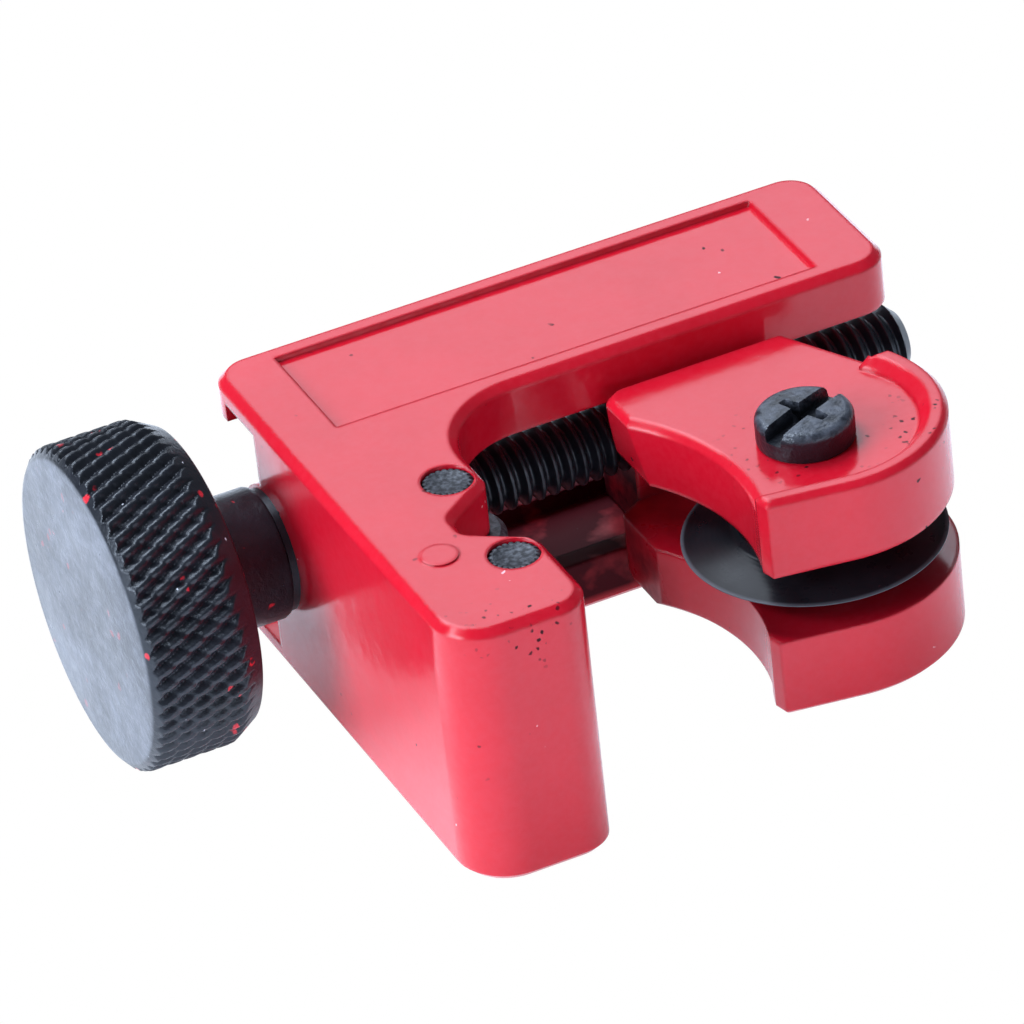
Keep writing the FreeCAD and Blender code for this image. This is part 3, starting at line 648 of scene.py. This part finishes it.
# %% Enamel colour
RED_DEEP = (0.55, 0.0055, 0.019)
RED_LIGHT = (0.61, 0.0065, 0.023)
RED_GRAIN = (0.66, 0.05, 0.08)
GRAIN_SHARE = 0.10
CHIP_DARK = (0.05, 0.008, 0.012)
SPECK_PALE = (0.85, 0.45, 0.50)
ARM_EDGE_INSET = 0.3 * MM
ARM_EDGE_DROP = 0.5 * MM

enamel = Recipe("red_enamel")
base = enamel.blend(enamel.ramp(enamel.noise(90, 2), 0.3, 0.7), RED_DEEP, RED_LIGHT)
grain = enamel.ramp(enamel.noise(1600, 2), 0.35, 0.65)
base = enamel.blend(enamel.math("MULTIPLY", grain, GRAIN_SHARE), base, RED_GRAIN)
arm_middle = (body_low.x + ARM_RIGHT) / 2
arm_edge = Vector((arm_middle, body_low.y + ARM_EDGE_INSET, body_high.z - ARM_EDGE_DROP))
head_foot = Vector((wheel_axis.x, wheel_axis.y, ear_top))
# Centre, radius that is full of chips, radius beyond which there are none.
chip_places = [
    (arm_edge, 2.5 * MM, 5.5 * MM),
    (head_foot - Vector((0, 0, 0.5 * MM)), 4.5 * MM, 7.5 * MM),
    (head_foot + Vector((9 * MM, -4 * MM, 0.7 * MM)), 2.5 * MM, 5 * MM),
    (head_foot + Vector((5.5 * MM, 1 * MM, 0)), 2 * MM, 4 * MM),
]
chip_zone = enamel.around(*chip_places[0])
for chip_place in chip_places[1:]:
    chip_zone = enamel.math("MAXIMUM", chip_zone, enamel.around(*chip_place))
chip_patch = enamel.ramp(enamel.noise(520, 1), 0.50, 0.54)
chips = enamel.product(enamel.specks(1300, 0.26), chip_patch, chip_zone)
dust = enamel.product(enamel.specks(420, 0.10), enamel.ramp(enamel.noise(150), 0.56, 0.62))
pale = enamel.product(enamel.specks(510, 0.07), enamel.ramp(enamel.noise(170), 0.60, 0.64))
bare_spots = enamel.math("MAXIMUM", dust, chips)
base = enamel.blend(bare_spots, base, CHIP_DARK)
base = enamel.blend(pale, base, SPECK_PALE)
print("chips at", len(chip_places), "places")

# %% [markdown]
# ## Red enamel: painted shade and gloss
# Painted shade darkens and dulls the enamel inside the frame, on the lower plate between the two
# plates, where little light reaches. It is a product of ramps along the axes, so it fades at the
# plate's ends and stays off the outside. The painted shade and the chips take the gloss away. The
# relief is the faint orange peel of a thick coat, and soft edges round the chamfers of the casting.

# %% Enamel painted shade and gloss
SHADE_DARK = (0.035, 0.004, 0.008)
SHADE_SHARE = 0.95
SHADE_DULL = 0.4
GLOSS = 0.44
GLOSS_LOST = 0.38
PEEL_DEPTH = 0.03 * MM
EDGE_SOFTNESS = 0.5 * MM
# Axis, place without painted shade, place full of painted shade.
SHADE_LIMITS = (
    ("X", -18.5 * MM, -6.0 * MM),
    ("Y", -3.5 * MM, 1.5 * MM),
    ("Y", 24.6 * MM, 24.0 * MM),
    ("Z", 2.4 * MM, 3.2 * MM),
    ("Z", 13.5 * MM, 8.0 * MM),
)

# Painted shade: the enamel inside the frame, between the plates, is darkened and dulled.
inner_shade = [enamel.ramp(enamel.axis(letter), clean, full) for letter, clean, full in SHADE_LIMITS]
inner_shade = enamel.product(*inner_shade)
inner_shade = enamel.product(inner_shade, SHADE_SHARE, enamel.ramp(enamel.noise(160, 4), 0.2, 0.5))
dulled = enamel.math("MULTIPLY", inner_shade, SHADE_DULL)
lost = enamel.math("MULTIPLY", enamel.math("MAXIMUM", inner_shade, bare_spots), GLOSS_LOST)
enamel.finish(
    Base_Color=enamel.blend(inner_shade, base, SHADE_DARK),
    Roughness=enamel.math("ADD", enamel.roughness(700, 0.12, 0.10), dulled),
    Specular_IOR_Level=enamel.math("SUBTRACT", GLOSS, lost),
)
fine_peel = enamel.math("MULTIPLY", enamel.noise(2200, 2), 0.12)
peel = enamel.math("ADD", enamel.noise(520, 2, 0.4), fine_peel)
enamel.relief(peel, PEEL_DEPTH, soft_edges=EDGE_SOFTNESS)
paint(enamel, nodes["frame"], nodes["carriage"])

# %% [markdown]
# ## Black oxide
# The screw, the washer, the axle and the knob share one blackened steel, oily, with a cold
# sheen. A function makes its base, because each of them wears in its own way and adds to it.

# %% Black steel
BLACK_DEEP = (0.006, 0.007, 0.010)
BLACK_LIGHT = (0.015, 0.017, 0.024)
COLD_SHEEN = (0.85, 0.92, 1.0)


def black_steel(name):
    """Dark oiled steel; returns the recipe and its base colour."""
    recipe = Recipe(name)
    tone = recipe.ramp(recipe.noise(260, 4), 0.3, 0.75)
    colour = recipe.blend(tone, BLACK_DEEP, BLACK_LIGHT)
    recipe.finish(
        Roughness=recipe.roughness(900, 0.2, 0.22), Specular_IOR_Level=0.5, Specular_Tint=COLD_SHEEN
    )
    return recipe, colour


black, base = black_steel("black_oxide")
black.finish(Base_Color=base)
black.relief(black.noise(1800, 3), 0.02 * MM)
paint(black, screw, nodes["thrust_washer"])

# %% [markdown]
# ## Worn head of the axle
# Drivers have rubbed the oxide off the top of the head in patches. The wear shows only near
# the top, so a ramp along Z holds it there, and a stronger relief gives the dented look.

# %% Axle black
RUBBED = (0.085, 0.095, 0.12)
DENT_DEPTH = 0.09 * MM

head, base = black_steel("axle_black")
on_top = head.ramp(head.axis("Z"), axle_high.z - 0.9 * MM, axle_high.z - 0.2 * MM)
rubbed = head.math("MULTIPLY", on_top, head.ramp(head.noise(900, 4, 0.65), 0.36, 0.62))
head.finish(Base_Color=head.blend(rubbed, base, RUBBED))
head.relief(head.math("ADD", head.noise(700, 4, 0.6), head.noise(1800, 3)), DENT_DEPTH)
paint(head, axle)

# %% [markdown]
# ## Worn face of the knob
# The knob's flat face has lost most of its oxide and is grey, cloudy and scratched. Flakes of
# red paint sit in the knurl, and white specks there are painted highlights of small glints. A ramp
# along X tells the face from the rim.

# %% Knob black
FACE_DARK = (0.036, 0.039, 0.048)
FACE_BRIGHT = (0.15, 0.162, 0.196)
FLAKE_RED = (0.60, 0.02, 0.035)
GLINT_WHITE = (0.75, 0.80, 0.90)
SCRATCH_DEPTH = 0.03 * MM

worn, base = black_steel("knob_black")
on_face = worn.ramp(worn.axis("X"), front_x + 0.12 * MM, front_x + 0.04 * MM)
scratches = worn.ramp(worn.noise(700, 5, 0.7, (1, 0.8, 1.2)), 0.46, 0.70)
clouds = worn.ramp(worn.noise(110, 5, 0.65), 0.40, 0.64)
wear = worn.math("ADD", worn.math("MULTIPLY", scratches, 0.5), worn.math("MULTIPLY", clouds, 0.5))
base = worn.blend(on_face, base, worn.blend(wear, FACE_DARK, FACE_BRIGHT))
few_on_face = worn.math("SUBTRACT", 1.0, worn.math("MULTIPLY", on_face, 0.7))
red_patch = worn.ramp(worn.noise(300), 0.57, 0.59)
base = worn.blend(worn.product(worn.specks(560, 0.22), red_patch, few_on_face), base, FLAKE_RED)
# White specks off the face are painted highlights: small glints on the knurl.
off_face = worn.math("SUBTRACT", 1.0, on_face)
glint_patch = worn.ramp(worn.noise(380), 0.61, 0.63)
base = worn.blend(worn.product(worn.specks(900, 0.13), glint_patch, off_face), base, GLINT_WHITE)
worn.finish(Base_Color=base)
marks = worn.math("MULTIPLY", scratches, 0.8)
worn.relief(worn.math("ADD", worn.noise(1800, 3), marks), SCRATCH_DEPTH)
paint(worn, knob)

# %% [markdown]
# ## Wheel steel
# The wheel is hardened and dark, with fine turning marks: a sine of the distance from the axis
# makes them. The ground edge is bare and brighter, and a few flakes of paint stick to the disc.

# %% Hardened wheel
WHEEL_DEEP = (0.004, 0.005, 0.007)
WHEEL_LIGHT = (0.011, 0.012, 0.016)
EDGE_BRIGHT = (0.10, 0.11, 0.13)
EDGE_SHARE = 0.8
FLAKE_PINK = (0.50, 0.10, 0.12)
MARK_SPACING = 0.45 * MM
MARK_DEPTH = 0.003 * MM

hard = Recipe("wheel_steel")
from_axis = hard.distance(wheel_axis)
base = hard.blend(hard.ramp(hard.noise(200, 4), 0.3, 0.7), WHEEL_DEEP, WHEEL_LIGHT)
ground = hard.ramp(from_axis, wheel_radius - 0.35 * MM, wheel_radius - 0.1 * MM)
base = hard.blend(hard.math("MULTIPLY", ground, EDGE_SHARE), base, EDGE_BRIGHT)
flakes = hard.product(hard.specks(520, 0.12), hard.ramp(hard.noise(210), 0.58, 0.61))
base = hard.blend(flakes, base, FLAKE_PINK)
hard.finish(Base_Color=base, Roughness=hard.roughness(600, 0.15, 0.22), Specular_IOR_Level=0.12)
mark_angle = hard.math("MULTIPLY", from_axis, TURN / MARK_SPACING)
turning_marks = hard.math("MULTIPLY", hard.math("SINE", mark_angle), 0.5)
hard.relief(hard.math("ADD", turning_marks, hard.noise(1500, 3)), MARK_DEPTH)
paint(hard, wheel)

# %% [markdown]
# ## Bare steel
# The pins, the rollers and the retaining ring are bare steel gone dull. A fine dark and light
# grain stands for the sawn and rusted ends, and only part of it is metallic.

# %% Dull steel
STEEL_DARK = (0.016, 0.018, 0.024)
STEEL_LIGHT = (0.10, 0.11, 0.13)

steel = Recipe("bare_steel")
steel.finish(
    Base_Color=steel.blend(steel.ramp(steel.noise(2600, 4), 0.42, 0.70), STEEL_DARK, STEEL_LIGHT),
    Roughness=steel.roughness(1200, 0.25, 0.38),
    Metallic=0.3,
    Specular_IOR_Level=0.4,
)
steel.relief(steel.noise(2500, 3), 0.04 * MM)
dull_nodes = [nodes[name] for name in ("inner_roller", "outer_roller", "retaining_ring")]
paint(steel, inner_pin, outer_pin, *dull_nodes)

# %% [markdown]
# ## Camera
# The camera stands where it stood for the photograph: far off with a long lens, on the near
# side and left of the knob, looking down by about a third of a right angle, and rolled a
# little. Its angles turn into three directions at right angles, which are the columns of its
# matrix.

# %% Camera
CAMERA_AZIMUTH = -21.73
CAMERA_ELEVATION = 33.09
CAMERA_ROLL = -6.55
CAMERA_PLACE = Vector((-0.21880, -0.53941, 0.39589))
CAMERA_LENS = 310.3
NEAREST_SEEN = 0.01
FARTHEST_SEEN = 50


def camera_axes(azimuth, elevation, roll):
    """Right, up and back directions of a camera from its angles in degrees."""
    a, e, r = (math.radians(v) for v in (azimuth, elevation, roll))
    back = Vector((math.sin(a) * math.cos(e), -math.cos(a) * math.cos(e), math.sin(e)))
    level = Vector((math.cos(a), math.sin(a), 0))
    upward = back.cross(level)
    right = level * math.cos(r) + upward * math.sin(r)
    up = upward * math.cos(r) - level * math.sin(r)
    return right, up, back


camera_data = bpy.data.cameras.new("camera")
camera_data.lens = CAMERA_LENS
camera_data.clip_start = NEAREST_SEEN
camera_data.clip_end = FARTHEST_SEEN
camera = bpy.data.objects.new("camera", camera_data)
scene.collection.objects.link(camera)
turned = Matrix(camera_axes(CAMERA_AZIMUTH, CAMERA_ELEVATION, CAMERA_ROLL)).transposed()
camera.matrix_world = Matrix.Translation(CAMERA_PLACE) @ turned.to_4x4()
scene.camera = camera
print("camera to tool, m:", round(CAMERA_PLACE.length, 3))

# %% [markdown]
# ## Floor
# The tool rests on three points: the knob's rim where its rear bevel starts, the arm's closed
# end and the bar's free end. The floor is the plane through them, so it tilts a little against
# the frame. It is a stage piece and not a part of the tool.

# %% Floor plane
BAR_NEAR = 5.8 * MM
RIM_REST = 1.6 * MM
FLOOR_HALF = 2.0

rim_point = Vector((rear_x - RIM_REST, screw_axis.y, knob_low.z))
arm_point = Vector((ARM_RIGHT, body_low.y, body_low.z))
bar_point = Vector((body_high.x, BAR_NEAR, body_low.z))
floor_up = (bar_point - rim_point).cross(arm_point - rim_point).normalized()
if floor_up.z < 0:
    floor_up.negate()
floor_x = Vector((0, 1, 0)).cross(floor_up).normalized()
floor_y = floor_up.cross(floor_x)
signs = ((-1, -1), (1, -1), (1, 1), (-1, 1))
corners = [rim_point + FLOOR_HALF * (i * floor_x + j * floor_y) for i, j in signs]
floor_mesh = bpy.data.meshes.new("floor")
floor_mesh.from_pydata(corners, [], [(0, 1, 2, 3)])
floor = bpy.data.objects.new("floor", floor_mesh)
scene.collection.objects.link(floor)
print("floor tilts by", round(math.degrees(floor_up.angle(Vector((0, 0, 1)))), 2), "degrees")

# %% [markdown]
# ## White ground
# The photograph's ground is cut out to pure white. To the camera this floor is plain white
# too, and to every other ray it is a pale matt floor that sends its cold light back to the
# tool. The Light Path node tells the two apart.

# %% Ground material
LIGHT_TINT = (0.80, 0.88, 1.0)
GROUND_PALE = (0.82, 0.85, 0.90)
GROUND_ROUGHNESS = 0.9
GROUND_GLOW = 0.6

ground = NodeGraph("white_ground")
ground.finish(
    Base_Color=GROUND_PALE,
    Roughness=GROUND_ROUGHNESS,
    Emission_Color=LIGHT_TINT,
    Emission_Strength=GROUND_GLOW,
)
white = ground.node("ShaderNodeEmission", {"Color": (1, 1, 1)})
camera_ray = ground.node("ShaderNodeLightPath").outputs["Is Camera Ray"]
surfaces = {0: camera_ray, 1: ground.shader.outputs[0], 2: white.outputs[0]}
mixed = ground.node("ShaderNodeMixShader", surfaces)
ground.put(ground.tree.nodes["Material Output"].inputs[0], mixed.outputs[0])
floor_mesh.materials.append(ground.material)
print("floor material:", ground.material.name)

# %% [markdown]
# ## Lights
# Four square softboxes stand round the tool. The one behind is where the flat tops mirror the
# camera, so it gives them their pale sheen. The upper one lights the tops, the left one the
# knob's face and the wall, and a weak low one the near end. A dim bluish sky fills the rest.

# %% Softboxes
SKY_STRENGTH = 0.16
# Name: place, side in metres, watts.
SOFTBOXES = {
    "back_box": ((0.37, 0.94, 0.65), 0.45, 1.6),
    "top_box": ((-0.15, 0.36, 0.7), 0.5, 7.1),
    "left_box": ((-0.8, -0.12, 0.45), 0.5, 9.5),
    "front_box": ((0.1, -0.9, 0.12), 0.4, 1.6),
}


def softbox(name, place, side, watts):
    """Square soft light at place that faces the tool."""
    data = bpy.data.lights.new(name, "AREA")
    data.size = side
    data.energy = watts
    data.color = LIGHT_TINT
    light = bpy.data.objects.new(name, data)
    scene.collection.objects.link(light)
    place = Vector(place)
    facing = place.to_track_quat("Z", "Y").to_matrix().to_4x4()
    light.matrix_world = Matrix.Translation(place) @ facing


world = bpy.data.worlds.new("studio")
world.use_nodes = True
sky = world.node_tree.nodes["Background"]
sky.inputs["Color"].default_value = (*LIGHT_TINT, 1)
sky.inputs["Strength"].default_value = SKY_STRENGTH
scene.world = world
for name, (place, side, watts) in SOFTBOXES.items():
    softbox(name, place, side, watts)
print("lights:", list(SOFTBOXES))

# %% [markdown]
# ## Finish
# The Standard view transform shows colours as they are lit, without a film's curve.

# %% View transform
scene.view_settings.view_transform = "Standard"
